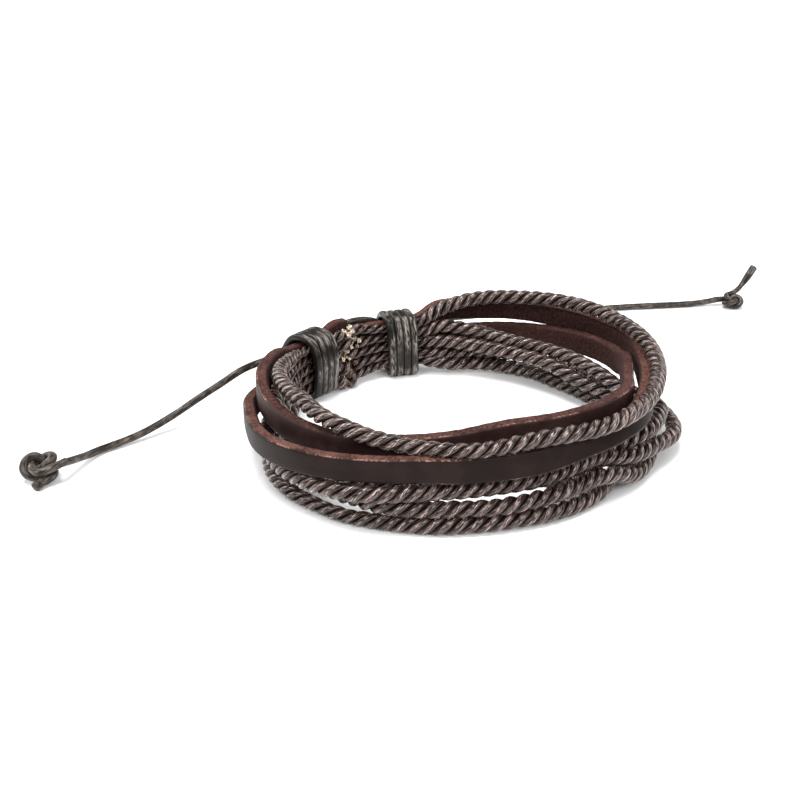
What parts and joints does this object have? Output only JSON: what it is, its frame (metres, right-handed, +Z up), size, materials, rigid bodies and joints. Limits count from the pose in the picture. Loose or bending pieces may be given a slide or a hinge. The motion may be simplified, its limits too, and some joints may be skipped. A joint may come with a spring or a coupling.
{
  "type": "leather bracelet",
  "caption": "Adjustable bracelet of flat leather straps and twisted waxed ropes, gathered by wound bindings, with loose drawcord ends that finish in stopper knots.",
  "frame": {"origin": "middle of the ring's box, on the surface that the bracelet lies on", "axes": "+Z up, along the wrist; +X to the right and +Y to the back as the ring lies with its two bindings at the back left"},
  "size_m": [0.1407, 0.1009, 0.0165],
  "materials": {
    "rope": "waxed, twisted",
    "strap": "matt, with a rough reddish cut edge",
    "binding": "waxed, wound tight",
    "cord": "waxed"
  },
  "bodies": {
    "root": {"rope_top": "rope", "rope_second": "rope", "rope_third": "rope", "rope_fourth": "rope", "rope_fifth": "rope", "strap_inner": "strap", "strap_outer": "strap", "binding_left": "binding", "binding_right": "binding", "drawcord_left": "cord", "drawcord_right": "cord", "tail_left": "cord", "tail_right": "cord", "knot_left": "cord", "knot_right": "cord"}
  },
  "joints": []
}
